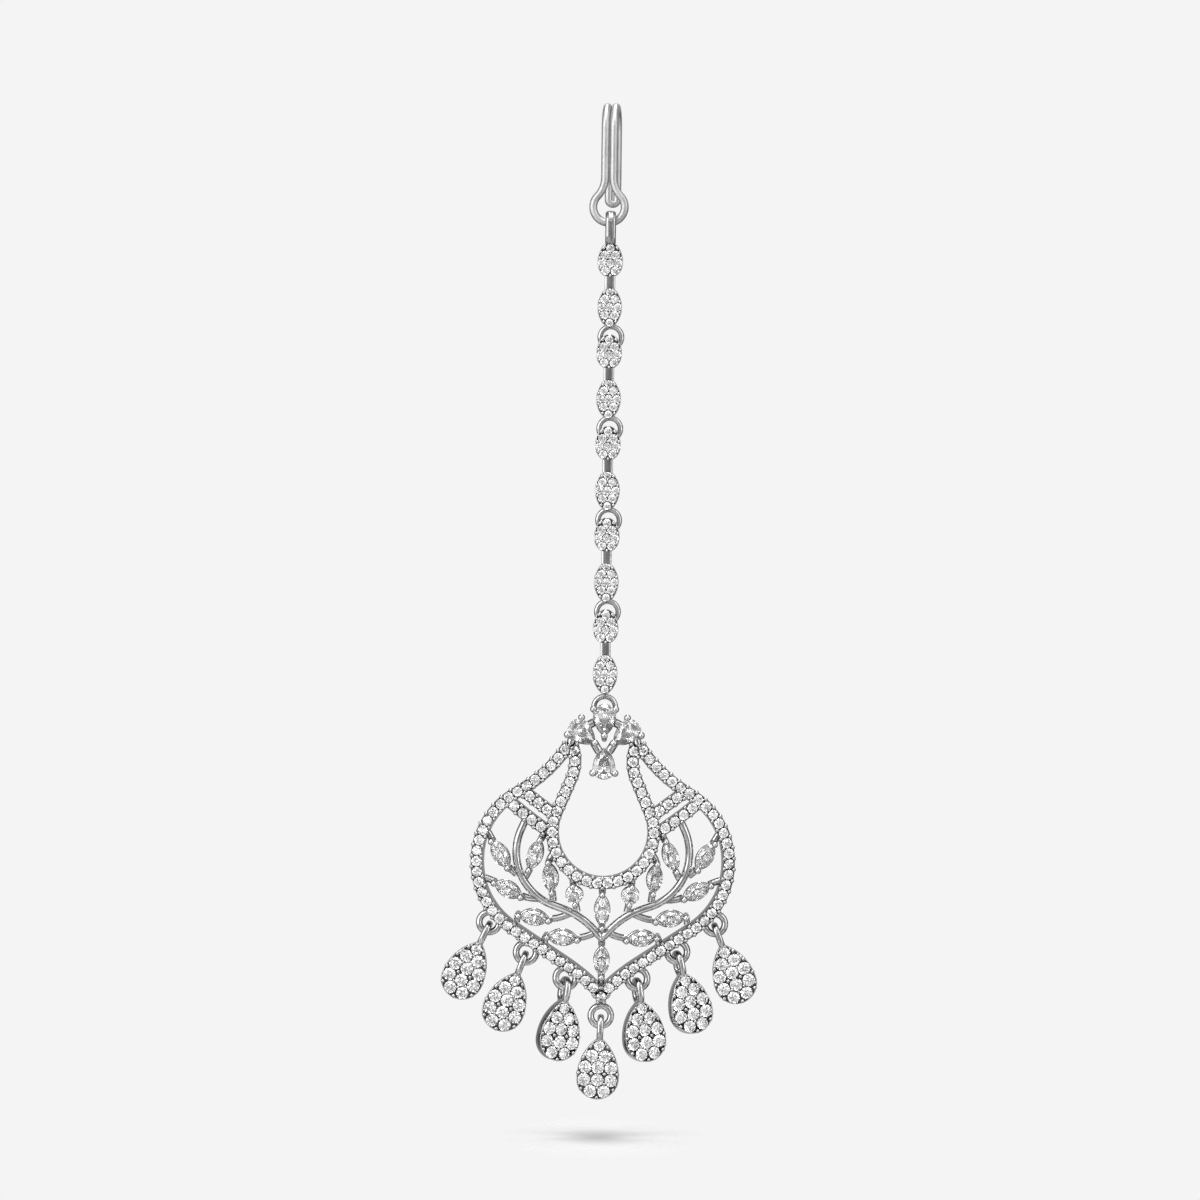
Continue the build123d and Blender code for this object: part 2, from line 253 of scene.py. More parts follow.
strand_x = (hook_wire + strand_gap) / 2
leg_y = bend_radius + hook_wire / 2
flare_height = leg_top_z - eye_z
flare_radius = (flare_height**2 + strand_x**2 - eye_radius**2) / (2 * (eye_radius - strand_x))
flare = math.atan2(flare_height, strand_x + flare_radius)
hairpin_z = back_leg_end_z + hook_wire / 2 + strand_x
legs = -bend_radius - leg_top_z + math.pi * leg_y - bend_radius - hairpin_z
half_loop = smooth_run((0, eye_z - eye_radius), 0, [
    (eye_radius * (flare + math.pi / 2), math.degrees(flare) + 90),
    (flare_radius * flare, -math.degrees(flare)),
    (legs, 0),
    (strand_x * math.pi / 2, 90),
], hook_step)
half_loop[-1, 0] = 0
flat_loop = np.concatenate((half_loop, half_loop[-2:0:-1] * (-1, 1)))


def rolled_over(flat):
    """The flat drawing of the loop rolled over a round bar: up the front, half round the bar
    and down the back, with the way that looks out from the bar."""
    x, up = flat.T
    angle = np.clip((up + bend_radius) / leg_y, 0, math.pi)
    down = np.maximum(up + bend_radius - math.pi * leg_y, 0)
    z = np.minimum(up, -bend_radius) + leg_y * np.sin(angle) - down
    outward = np.column_stack((0 * x, -np.cos(angle), np.sin(angle)))
    return np.column_stack((x, -leg_y * np.cos(angle), z)), outward


def turned(places, degrees):
    """Places turned about the upright axis."""
    c, s = math.cos(math.radians(degrees)), math.sin(math.radians(degrees))
    return places @ np.array(((c, s, 0), (-s, c, 0), (0, 0, 1)))


path, outward = rolled_over(flat_loop)
loop = carried(turned(path, hook_turn), turned(outward, hook_turn), round_profile(hook_wire), True)
hook = new_piece("hook_wire", [skin(loop, True)], hook_silver)
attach(hook, "hook_and_chain")
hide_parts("hook")

# ---- Chain ------------------------------------------------------------------------------------
# Five cast links, each a rounded bud and a pointed leaf joined by a neck. Both are shallow cups
# paved with round stones that small raised beads hold. A jump ring is soldered behind each tip.
chain_y = -(bend_radius + hook_wire / 2)
links = 5
link_pitch = 11.44
first_neck_z = -21.6
link_front = 0.9
link_back = 0.3
link_rim = 0.1
link_well = 0.6
bud_up, bud_down, bud_width = 2.5, 1.88, 3.2
leaf_length, leaf_width, leaf_middle = 5.5, 3.1, -3.1
neck_foot, neck_length, neck_sunk, neck_step = -0.85, 1.6, 0.32, 0.3
bail_straight, bail_wire, bail_width = 1.6, 0.8, 1.34
bail_play = 0.2
ring_wire = 0.7
ring_radius = 1.34
ring_drops = (6.8, 6.8, 6.8, 6.8, 7.26)
ring_lean = math.radians(7.0)
ring_shift = 0.2
solder_depth = 0.1
loop_wire = 0.55
loop_play = 0.12
loop_radius = ring_wire / 2 + loop_play + loop_wire / 2
ring_top_y = chain_y + link_back + ring_wire / 2 - solder_depth
ring_middle_y = ring_top_y + ring_radius * math.sin(ring_lean)
pivot_y = ring_top_y + 2 * ring_radius * math.sin(ring_lean)
ring_half = ring_radius * math.cos(ring_lean)
pivot_z = first_neck_z - (links - 1) * link_pitch - ring_drops[-1] - ring_half
# (height above the neck's middle, stone's places across, stone's diameter)
bud_rows = [(4.28, (0,), 1.05), (3.36, (-0.66, 0.66), 1.12), (2.38, (-1.04, 0, 1.04), 1.0),
            (1.42, (-0.6, 0.6), 1.08)]
leaf_rows = [(-1.15, (0,), 1.02), (-2.1, (-0.62, 0.62), 1.08), (-3.1, (-1.02, 0, 1.02), 1.0),
             (-4.1, (-0.62, 0.62), 1.08), (-5.05, (0,), 1.0)]
link_stone_sunk = 0.02            # under the cup's rim
link_bead_proud = 0.08            # of the rim
link_bead_least, link_bead_most = 0.15, 0.22
bead_inset = 0.2                  # of the beads' field from the cup's outline
bead_spin, stone_spin = 1.0, 2.4  # radians from each to the next
stone_tilt = 4.0                  # degrees
facet_angle = 1.0                 # degrees, so that every facet stays flat
outline_places = 48               # every third of them makes a cut stone's sixteen
neck_shade, bail_shade = 0.35, 0.4  # shares of painted shade
neck_section = np.array(((-0.66, -0.6), (0.66, -0.6), (0.66, 0.3), (0.62, 0.5), (0.5, 0.58),
                         (0.3, 0.6), (-0.3, 0.6), (-0.5, 0.58), (-0.62, 0.5), (-0.66, 0.3)))


def oval(up, down, width):
    """An upright oval's outline for an inset: an upper and a lower half ellipse, whose half
    axes lose the inset."""
    ring = round_profile(2.0, outline_places)
    height = np.where(ring[:, 1:] > 0, up, down)
    return lambda inset: ring * np.hstack((0 * height + width / 2, height)) - ring * inset


def leaf(length, width):
    """An upright leaf's outline for an inset: two arcs about centres beside the middle line,
    their radius less the inset, which meet in a point at each end."""
    radius = (length**2 + width**2) / (4 * width)
    beside = radius - width / 2

    def outline(inset):
        tip = math.acos(beside / (radius - inset))
        angle = np.linspace(-tip, tip, outline_places // 2 + 1)[:-1]
        side = (radius - inset) * np.column_stack((np.cos(angle), np.sin(angle))) - (beside, 0)
        return np.concatenate((side, -side))

    return outline


def cup(outline, front, back, rim, well, bevel=0.08):
    """A shallow cup from insets of an outline at the depths of its back, wall, rim and floor,
    front, back and well being lengths along -Y from the outline's own plane. The floor gets
    the painted shade of a recess."""
    rows = [(bevel, -back), (0, bevel - back), (0, front - bevel), (0.4 * bevel, front - 0.02),
            (bevel, front), (rim, front), (rim + 0.03, front - well)]
    # painted shade: only the floor row is darkened, as shadow in the cup's well
    row_shade = (0, 0, 0, 0, 0, 0, 1.0)
    grid = np.array([np.insert(outline(inset), 1, -depth, axis=1) for inset, depth in rows])
    return *skin(grid), np.repeat(row_shade, grid.shape[1])


def moved(part, place):
    """A part's places plus one step."""
    return part[0] + np.array(place, float), *part[1:]


def round_stone():
    """A brilliant cut of unit diameter, its outline in the first two directions and its table
    towards the third: a table, eight stars, eight kites, sixteen halves and a pointed foot."""
    turn = np.arange(16) * math.pi / 8
    ring = np.column_stack((np.cos(turn), np.sin(turn))) / 2
    table, star, crown, foot = 0.56, 0.80, 0.17, -0.43
    star_height = crown * (1 - star * math.cos(math.pi / 8)) / (1 - table)
    places = np.vstack((
        np.insert(ring[::2] * table, 2, crown, axis=1),
        np.insert(ring[1::2] * star, 2, star_height, axis=1),
        np.insert(ring, 2, 0, axis=1),
        (0, 0, foot),
    ))
    i = np.arange(8)
    after, before = (i + 1) % 8, (i - 1) % 8
    near, next_near = 16 + 2 * i, 16 + (2 * i + 2) % 16
    stars = np.stack((i, 8 + i, after), -1)
    kites = np.stack((i, 8 + before, near, 8 + i), -1)
    halves = np.concatenate((np.stack((8 + i, near, near + 1), -1),
                             np.stack((8 + i, near + 1, next_near), -1)))
    j = np.arange(16)
    pavilion = np.stack((16 + j, np.full(16, 32), 16 + (j + 1) % 16), -1)
    faces = [i.tolist()] + stars.tolist() + kites.tolist() + halves.tolist() + pavilion.tolist()
    return places, faces


def bead_post():
    """A bead of unit radius on a short post, its head towards the third direction: rings of
    eight places, each with its radius, height and painted shade, under one place at the top."""
    radius = np.array((0.8, 0.9, 1.0, 0.86, 0.5))
    height = np.array((-2.4, -0.6, 0.0, 0.5, 0.86))
    # painted shade: the post's foot is darkened, where it sinks among the stones
    ring_shade = (1, 0.6, 0, 0, 0)
    turn = np.arange(8)[:, None] * math.pi / 4
    grid = np.stack((radius * np.cos(turn), radius * np.sin(turn), height + 0 * turn), -1)
    places, faces = skin(grid.transpose(1, 0, 2))
    top = len(places)
    last = top - 8
    around = [[last + k, last + (k + 1) % 8, top] for k in range(8)]
    painted_shade = np.append(np.repeat(ring_shade, 8), 0)
    return np.vstack((places, (0, 0, 1))), faces[:-1] + around, painted_shade


def set_out(shape, places, outward, sizes, spin, tilt=0.0):
    """A shape copied to many places at once: its third direction goes outward, leaned a little
    by a seeded draw, and the copies are spun about it and sized one by one."""
    draw = np.random.default_rng(len(places))
    lean = draw.normal(0, 1, (len(places), 3)) * math.radians(tilt)
    third = outward + lean
    third /= np.linalg.norm(third, axis=1, keepdims=True)
    first = np.cross((0.0, 0.0, 1.0), third)
    first /= np.linalg.norm(first, axis=1, keepdims=True)
    second = np.cross(third, first)
    angle = spin * np.arange(len(places))[:, None]
    across = np.cos(angle) * first + np.sin(angle) * second
    along = np.cos(angle) * second - np.sin(angle) * first
    axes = np.stack((across, along, third), 1) * np.reshape(sizes, (-1, 1, 1))
    copies = places[:, None] + shape[0] @ axes
    count = len(shape[0])
    faces = [[k * count + corner for corner in face]
             for k in range(len(places)) for face in shape[1]]
    painted_shade = np.tile(shape[2], len(places)) if len(shape) > 2 else np.zeros(len(places) * count)
    return copies.reshape(-1, 3), faces, painted_shade


def bead_places(stones, radii, outline, inset):
    """Where beads go among stones, and their sizes: each place of a fine grid inside the inset
    outline that is farther from every stone than the places beside it, a place being inside
    if a line from it to the right crosses the outline an odd number of times."""
    step, least_gap, overlap = 0.03, 0.07, 0.05
    edge = outline(inset)
    low, high = edge.min(0), edge.max(0)
    across, up = np.meshgrid(np.arange(low[0], high[0], step), np.arange(low[1], high[1], step))
    x, z = across[..., None], up[..., None]
    (x1, z1), (x2, z2) = edge.T, np.roll(edge, -1, axis=0).T
    rises = (z1 > z) != (z2 > z)
    cross = x1 + (z - z1) * (x2 - x1) / np.where(z2 == z1, 1, z2 - z1)
    inside = (rises & (cross > x)).sum(-1) % 2 == 1
    gap = (np.hypot(x - stones[:, 0], z - stones[:, 1]) - radii).min(-1)
    gap = np.pad(np.where(inside, gap, -1), 1, constant_values=-1)
    beside = [np.roll(gap, way, (0, 1)) for way in itertools.product((-1, 0, 1), repeat=2)]
    peak = ((gap >= np.max(beside, axis=0)) & (gap > least_gap))[1:-1, 1:-1]
    return np.column_stack((across[peak], up[peak])), gap[1:-1, 1:-1][peak] + overlap


def torus(centre, radius, wire, first, second):
    """Wire of a given diameter along a circle in the plane of two directions."""
    turn = np.linspace(0, 2 * math.pi, 48, endpoint=False)[:, None]
    path = np.array(centre) + radius * (np.cos(turn) * first + np.sin(turn) * second)
    outward = (path - centre) / radius
    return skin(carried(path, outward, round_profile(wire, 16), True), True)


def slot_loop(top, inner_radius, straight, wire, width):
    """A loop standing front to back, hung by its upper bend: a strap along a slot. The strap's
    section is a squarish oval, its cosine and sine each raised to a power below one."""
    step, power = 0.15, 0.8
    bend = inner_radius + wire / 2
    flat = smooth_run((bend, -straight), 90, [(straight, 0), (math.pi * bend, 180)] * 2, step)
    flat = flat[:-1]
    path = np.column_stack((0 * flat[:, 0], flat[:, 0], flat[:, 1])) + top
    circle = round_profile(2.0, 24)
    strap = np.sign(circle) * abs(circle)**power * (wire / 2, width / 2)
    outward = np.tile((1.0, 0.0, 0.0), (len(path), 1))
    return skin(carried(path, outward, strap, True), True)


def evenly_shaded(part, share):
    """A part darkened all over by one share of painted shade."""
    return (*part, np.full(len(part[0]), share))


def clear_stone(name, tint, warm, milk):
    """Cut cubic zirconia: clear, strongly bending, with the faintest clouds of tint, and the
    share of pale light that its many inner reflections scatter back."""
    cloud_scale = 300.0
    material, shader, places = surface(name, Roughness=0.0, IOR=2.15, Transmission_Weight=1 - milk)
    feed(shader, Base_Color=places.noise(cloud_scale).between(0.0, 1.0).blend(tint, warm))
    return material


link_silver = silver("link_silver", dark=0.48, light=0.60, smooth=0.14, rough=0.28, grain=0.3)
pave_stone = clear_stone("pave_stone", grey(0.97), grey(0.985, 0.005), milk=0.0)
facing = np.array((0.0, -1.0, 0.0))
x_way, z_way = np.array((1.0, 0, 0)), np.array((0, 0, 1.0))
leaves = [(oval(bud_up, bud_down, bud_width), bud_up, bud_rows),
          (leaf(leaf_length, leaf_width), leaf_middle, leaf_rows)]
ring_up = np.array((0, -math.sin(ring_lean), math.cos(ring_lean)))
for link in range(links):
    neck_z = first_neck_z - link * link_pitch
    metal, stones, beads = [], [], []
    for outline, middle_z, rows in leaves:
        plate = cup(outline, link_front, link_back, link_rim, link_well)
        metal.append(moved(plate, (0, chain_y, neck_z + middle_z)))
        flat = np.array([(x, z) for z, xs, _ in rows for x in xs])
        sizes = np.array([size for _, xs, size in rows for _ in xs])
        stones += [(x, chain_y - link_front + link_stone_sunk, neck_z + z, size)
                   for (x, z), size in zip(flat, sizes)]
        spots, radii = bead_places(flat - (0, middle_z), sizes / 2, outline, bead_inset)
        spots += (0, middle_z + neck_z)
        spots = np.insert(spots, 1, chain_y - link_front - link_bead_proud, axis=1)
        beads.append(np.column_stack((spots, radii)))
    neck = smooth_run((0, neck_z + neck_foot), 90, [(neck_length, 0)], neck_step)
    neck = np.column_stack((neck[:, 0], 0 * neck[:, 0] + chain_y - neck_sunk, neck[:, 1]))
    neck = skin(carried(neck, np.tile(facing, (len(neck), 1)), neck_section))
    # painted shade over the whole neck, which lies sunk between the two cups
    metal.append(evenly_shaded(neck, neck_shade))
    stones, beads = np.array(stones), np.concatenate(beads)
    sizes = np.clip(beads[:, 3], link_bead_least, link_bead_most)
    forward = np.tile(facing, (len(beads), 1))
    metal.append(set_out(bead_post(), beads[:, :3], forward, sizes, bead_spin))
    shift = 0 if link == links - 1 else ring_shift
    ring_z = neck_z - ring_drops[link]
    metal.append(torus((shift, ring_middle_y, ring_z), ring_radius, ring_wire, x_way, ring_up))
    if link == 0:
        top = (0, chain_y, eye_z - eye_radius)
        bail = slot_loop(top, hook_wire / 2 + bail_play, bail_straight, bail_wire, bail_width)
        # painted shade over the whole bail
        metal.append(evenly_shaded(bail, bail_shade))
    else:
        loop_z = neck_z + link_pitch - ring_drops[link - 1] - ring_half
        metal.append(torus((0, pivot_y, loop_z), loop_radius, loop_wire, -facing, z_way))
    plate = new_piece(f"link_{link + 1}_silver", metal, link_silver)
    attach(plate, "hook_and_chain")
    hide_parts(f"chain_link_{link + 1}")
    forward = np.tile(facing, (len(stones), 1))
    gems = set_out(round_stone(), stones[:, :3], forward, stones[:, 3], stone_spin, stone_tilt)
    gems = new_piece(f"link_{link + 1}_stones", [gems], pave_stone, facet_angle)
    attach(gems, "hook_and_chain")

# ---- Pendant's bands --------------------------------------------------------------------------
# A keyhole of two paved bands, with two short bars between them at each side and a round cup at
# the tip, cast in silver on a shallow dome. Each is a channel with thin walls; a bead on each
# wall, between every two stones, holds them.
dome_radius = 90.0
dome_proud = 2.91                 # of its face before the pivot
dome_centre = np.array((0, pivot_y - dome_proud + dome_radius, -85.27))
band_width = 1.5
band_depth = 1.4
band_wall = 0.11
band_groove = 0.75
band_step = 0.2
band_stone = 1.26
band_bead = 0.28
band_bead_aside = 0.61
band_bead_sunk = 0.02
tip_z = -110.65
tip_width = 1.8
tip_stone = (0, -111.0)
# round the tip's stone, where the outer bands meet above it, and on the bands' upper ends
end_beads = [(-0.8, -110.85), (0.8, -110.85), (-0.4, -111.6), (0.4, -111.6), (0, -110.4),
             (-4.35, -79.35), (4.35, -79.35)]
# start, heading, (length, turn) of each run, first stone's way along, pitch, stones
bands = [
    ((4.5, -79.4), -56.8, [(7.66, 24.2), (1.6, 0), (9.86, -57.4), (0.25, 0), (9.7, -56.4),
                           (8.35, 0), (5.8, 13.0)], 0.67, 1.328, 32),
    ((3.94, -79.44), -110.0, [(4.2, 43), (4.6, 0), (12.52, -113)], 0.67, 1.333, 16),
    ((9.71, -85.43), -143.1, [(4.0, 0)], 0.65, 1.36, 3),
    ((11.67, -86.61), -139.8, [(5.75, -6.5)], 0.7, 1.41, 4),
]


def on_dome(flat, sunk=0.0):
    """Places of the front drawing laid on the dome, and sunk under its face, with the outward
    way: the dome's depth is its middle's less the root of its radius squared less the place's
    distance squared from the axis."""
    flat = np.asarray(flat, float)
    x, z = flat[..., 0], flat[..., 1]
    y = dome_centre[1] - np.sqrt(dome_radius**2 - x**2 - (z - dome_centre[2])**2)
    places = np.stack((x, y, z), -1)
    outward = (places - dome_centre) / dome_radius
    return places - sunk * outward, outward


def spaced(line, distances, aside=0.0):
    """Places at distances along an even line, stepped aside square to it."""
    steps = np.gradient(line, axis=0)
    pitch = np.linalg.norm(steps, axis=1, keepdims=True)
    square = np.column_stack((-steps[:, 1], steps[:, 0])) / pitch
    along = np.insert(np.cumsum(np.linalg.norm(np.diff(line, axis=0), axis=1)), 0, 0)
    return np.column_stack([np.interp(distances, along, c) for c in (line + aside * square).T])


paved_silver = silver("paved_silver", dark=0.38, light=0.50, smooth=0.10, rough=0.24, grain=0.35)
half_width = band_width / 2
# one side of the channel from its foot over the wall to the groove's floor: how far in from the
# outer face, how high, and how much painted shade, the most on the groove's floor between stones
wall = np.array(((0, -band_depth, 0), (0, 0.1 - band_depth, 0.3), (0, -0.3, 0.3), (0, -0.07, 0),
                 (0.04, 0, 0), (0.09, 0, 0), (band_wall, -0.07, 0), (band_wall, -band_groove, 1)))
channel = np.concatenate((wall * (-1, 1, 1) + (half_width, 0, 0),
                          wall[::-1] - (half_width, 0, 0)))
channel = np.roll(channel, 1, axis=0)
metal, stone_spots, bead_spots = [], [], []
for start, heading, runs, first, pitch, count in bands:
    line = smooth_run(start, heading, runs, band_step)
    stops = first + pitch * np.arange(count)
    gaps = first + pitch * (np.arange(count + 1) - 0.5)
    for side in (1, -1):
        path, outward = on_dome(line * (side, 1))
        places, faces = skin(carried(path, outward, channel[:, :2]))
        # painted shade: the channel's foot and groove floor are darkened as shadow
        metal.append((places, faces, np.tile(channel[:, 2], len(path))))
        stone_spots.append(spaced(line, stops) * (side, 1))
        bead_spots += [spaced(line, gaps, aside) * (side, 1)
                       for aside in (-band_bead_aside, band_bead_aside)]
places, outward = on_dome(np.concatenate(bead_spots + [end_beads]), band_bead_sunk)
metal.append(set_out(bead_post(), places, outward, band_bead, bead_spin))
tip = cup(oval(tip_width / 2, tip_width / 2, tip_width), 0, band_depth, 0.1, band_groove)
metal.append(moved(tip, on_dome((0, tip_z))[0]))
bands_piece = new_piece("paved_bands", metal, paved_silver)
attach(bands_piece, "pendant")
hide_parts("pendant_frame")
places, outward = on_dome(np.concatenate(stone_spots + [[tip_stone]]))
sizes = np.full(len(places), band_stone)
gems = set_out(round_stone(), places, outward, sizes, stone_spin, stone_tilt)
gems = new_piece("band_stones", [gems], pave_stone, facet_angle)
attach(gems, "pendant")

# ---- Stems ------------------------------------------------------------------------------------
# Two bent round wires that grow from the lower bars and meet in a fork over the lowest stone.
# Polished silver wire, soldered to the back of the bands.
stem_wire = 1.0
stem_sunk = 0.15 + stem_wire / 2
stem_step = 0.15
stem = smooth_run((9.5, -88.2), -66.0, [(1.9, 0), (11.8, -95), (1.0, 0), (6.5, 36)], stem_step)
fork_top, fork_foot = (0, -103.2), (0, -104.1)


def wire(flat, diameter, sunk, ends=0.5):
    """Round wire along a line of the front drawing, sunk under the dome's face. Its diameter
    follows a half circle down to almost nothing at each end."""
    least = 0.02
    path, outward = on_dome(flat, sunk)
    along = np.insert(np.cumsum(np.linalg.norm(np.diff(path, axis=0), axis=1)), 0, 0)
    near = np.minimum(along, along[-1] - along) / (ends * diameter)
    share = np.sqrt(np.clip(1 - (1 - np.clip(near, 0, 1))**2, least**2, 1))
    return skin(carried(path, outward, round_profile(diameter, 16) * share[:, None, None]))


def straight(start, end, steps=14):
    """Places along a straight, closer together towards its ends: the cosine of even turns."""
    share = (1 - np.cos(np.linspace(0, math.pi, steps)))[:, None] / 2
    return np.array(start) * (1 - share) + np.array(end) * share


polished_wire = silver("polished_wire", dark=0.45, light=0.57, smooth=0.06, rough=0.14, grain=0.2)
metal = [wire(stem * (side, 1), stem_wire, stem_sunk) for side in (1, -1)]
metal.append(wire(straight(fork_top, fork_foot), stem_wire, stem_sunk))
stems = new_piece("stems", metal, polished_wire)
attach(stems, "pendant")
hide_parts("pendant_frame")

# ---- Cut stones and their settings ------------------------------------------------------------
# Fourteen leaves, two rounds and four pears of clear cubic zirconia. Each sits on a silver rail
# between ball prongs; short arms join the settings to the stems and bands, and three pairs of
# bars join the pears. A post behind the top pear ends in the loop that hangs in the last ring.
crown_rise = 0.42
pavilion_share = 0.42             # of the stone's width
stone_lift = 0.06
rail_sunk = 1.02
rail_wire = 0.5
rail_overlap = 0.05               # of the stone's edge by the wire
marquise_width = 2.0
pear_length = 3.95
pear_width = 2.75
# how far beyond the stone's edge each prong stands, then the radius of its post, the radius of
# its ball and the ball's step in
end_beyond, end_prong = 0.2, (0.36, 0.4, 0.16)
foot_beyond, foot_prong = 0.3, (0.3, 0.46, 0.15)
point_beyond, point_prong = 0.4, (0.35, 0.46, 0.3)
foot_angle = 65.0                 # of the foot's prongs from the pear's axis
arm_wire, arm_overlap = 0.9, 0.15
crown_wire = 1.1
cross_wire, cross_half, cross_sunk = 0.6, 1.5, 1.45
post_sunk = 1.3
# name, kind, x, z, lean of the long axis, length, root x, root z, foot x, foot z
paired_stones = [
    ("outer_upper", "marquise", 12.85, -93.20, -122, 3.80, 14.60, -90.30, 10.75, -95.80),
    ("inner_upper", "marquise", 8.53, -93.20, -70, 4.00, 7.30, -90.30, 9.90, -96.30),
    ("inner_middle", "marquise", 6.55, -96.00, -97, 3.75, 6.10, -92.90, 6.15, -99.20),
    ("outer_middle", "marquise", 11.83, -97.60, -153, 3.70, 15.00, -96.20, 7.60, -98.80),
    ("inner_lower", "marquise", 8.55, -101.05, -172, 3.75, 10.80, -102.00, 3.90, -100.55),
    ("outer_lower", "marquise", 4.95, -103.55, -176, 3.75, 7.20, -105.10, 0.90, -103.05),
    ("accent", "round", 3.53, -98.15, -98, 2.20, 3.70, -95.70, 3.10, -100.50),
]
# name, z, length, root z, foot z
middle_stones = [
    ("centre_upper", -100.10, 4.20, -96.80, -103.30),
    ("centre_lower", -106.45, 3.75, -103.80, -110.00),
]
# name, x, z, direction of the point
pear_stones = [
    ("pear_top", 0.0, -75.55, -90.0),
    ("pear_left", -3.22, -77.45, -39.2),
    ("pear_right", 3.22, -77.45, 219.2),
    ("pear_bottom", 0.0, -82.20, 90.0),
]
# start, end, how far sunk
crown_bars = [((1.1, -76.3), (2.4, -77.0), 1.02), ((1.4, -78.85), (0.5, -80.35), 0.15),
              ((3.9, -78.0), (4.3, -79.5), 0.6)]


def teardrop(length, width):
    """An upright drop's outline for an inset, its middle that of the round foot: two arcs that
    meet in a point, then the foot's half circle, every radius less the inset."""
    foot = width / 2
    radius = ((length - foot)**2 + foot**2) / (2 * foot)

    def outline(inset):
        tip = math.acos((radius - foot) / (radius - inset))
        side = np.linspace(0, tip, outline_places // 4 + 1)[:-1]
        side = (radius - inset) * np.column_stack((np.cos(side), np.sin(side)))
        side -= (radius - foot, 0)
        bend = np.linspace(math.pi, 2 * math.pi, outline_places // 2 + 1)[:-1]
        bend = (foot - inset) * np.column_stack((np.cos(bend), np.sin(bend)))
        left = (side * (-1, 1))[::-1]
        top = (0, math.sqrt((radius - inset)**2 - (radius - foot)**2))
        return np.vstack((top, left[:-1], bend, side))

    return outline


def framed(x, z, direction, sunk=0.0):
    """A place on the dome with its outward way, the way along a direction of the front
    drawing, and the way across it."""
    place, outward = on_dome((x, z), sunk)
    along = np.array((math.cos(math.radians(direction)), 0, math.sin(math.radians(direction))))
    along -= outward * (along @ outward)
    along /= np.linalg.norm(along)
    return place, np.cross(along, outward), along, outward


def cut_stone(ring):
    """A brilliant cut on any outline of sixteen places: the table, stars and foot are the
    outline shrunk and raised or sunk, and flat triangles join them."""
    main, half = ring[::2], ring[1::2]
    pavilion_drop = pavilion_share * np.ptp(ring[:, 0])
    # outline, its share, its height
    layers = [(main, 0.6, crown_rise), (half, 0.82, 0.5 * crown_rise), (ring, 1.0, 0.0),
              (half, 0.5, -0.52 * pavilion_drop)]
    places = np.vstack([np.insert(flat * share, 2, height, axis=1)
                        for flat, share, height in layers] + [(0, 0, -pavilion_drop)])
    i = np.arange(8)
    after, before, foot = (i + 1) % 8, (i - 1) % 8, np.full(8, 40)
    girdle, between, beyond = 16 + 2 * i, 17 + 2 * i, 16 + (2 * i + 2) % 16
    faces = [(i, 8 + i, after), (i, 8 + before, girdle), (i, girdle, 8 + i),
             (8 + i, girdle, between), (8 + i, between, beyond), (foot, girdle, 32 + before),
             (foot, 32 + i, girdle), (32 + i, between, girdle), (32 + i, beyond, between)]
    return places, [i.tolist()] + np.concatenate([np.stack(f, -1) for f in faces]).tolist()


def rail(outline, frame):
    """A round wire along a stone's outline, inset by a little less than its own radius."""
    place, across, along, outward = frame
    ring = outline(rail_wire / 2 - rail_overlap)
    path = place + ring[:, :1] * across + ring[:, 1:] * along
    outward = np.tile(outward, (len(path), 1))
    return skin(carried(path, outward, round_profile(rail_wire, 10), True), True)


def prong(frame, spot, post, ball, step_in):
    """A post beside a stone with a ball on top, the ball stepped in over the stone: rings whose
    radius follows the post and then the ball's half circle."""
    ball_height, least = 0.6, 0.001
    place, across, along, outward = frame
    turn = np.linspace(-1.0, math.pi / 2, 7)
    height = np.append((-1.3, -0.5, 0.1, 0.3), ball_height + ball * np.sin(turn))[:, None, None]
    radius = np.append((post,) * 3 + (post * 0.9,), np.maximum(ball * np.cos(turn), least))
    step = np.append((0, 0, 0, step_in * 0.5), np.full(7, step_in))[:, None, None]
    foot = place + spot[0] * across + spot[1] * along
    inward = (place - foot) / np.linalg.norm(place - foot)
    angle = np.linspace(0, 2 * math.pi, 12, endpoint=False)[:, None]
    ring = np.cos(angle) * across + np.sin(angle) * along
    return skin(foot + height * outward + step * inward + radius[:, None, None] * ring)


def bent_arm(end, way, foot):
    """A line that leaves a stone's end along its axis and bends to its foot: the square curve
    of the end, a place ahead of it and the foot."""
    reach = 0.4                   # of the whole way
    end, foot = np.array(end), np.array(foot)
    ahead = end + way * np.linalg.norm(foot - end) * reach
    t = np.linspace(0, 1, 14)[:, None]
    return (1 - t)**2 * end + 2 * t * (1 - t) * ahead + t**2 * foot


stones = []
for name, kind, x, z, lean, length, *ends in paired_stones:
    half = length / 2
    outline = leaf(length, marquise_width) if kind == "marquise" else oval(half, half, length)
    for side, word in ((1, "right"), (-1, "left")):
        direction = lean if side == 1 else 180 - lean
        stones.append((f"{kind}_{name}_{word}", outline, half, side * x, z, direction,
                       (side * ends[0], ends[1]), (side * ends[2], ends[3])))
for name, z, length, root_z, foot_z in middle_stones:
    stones.append((f"marquise_{name}", leaf(length, marquise_width), length / 2, 0, z, -90,
                   (0, root_z), (0, foot_z)))
for name, x, z, direction in pear_stones:
    stones.append((name, teardrop(pear_length, pear_width), 0, x, z, direction, None, None))

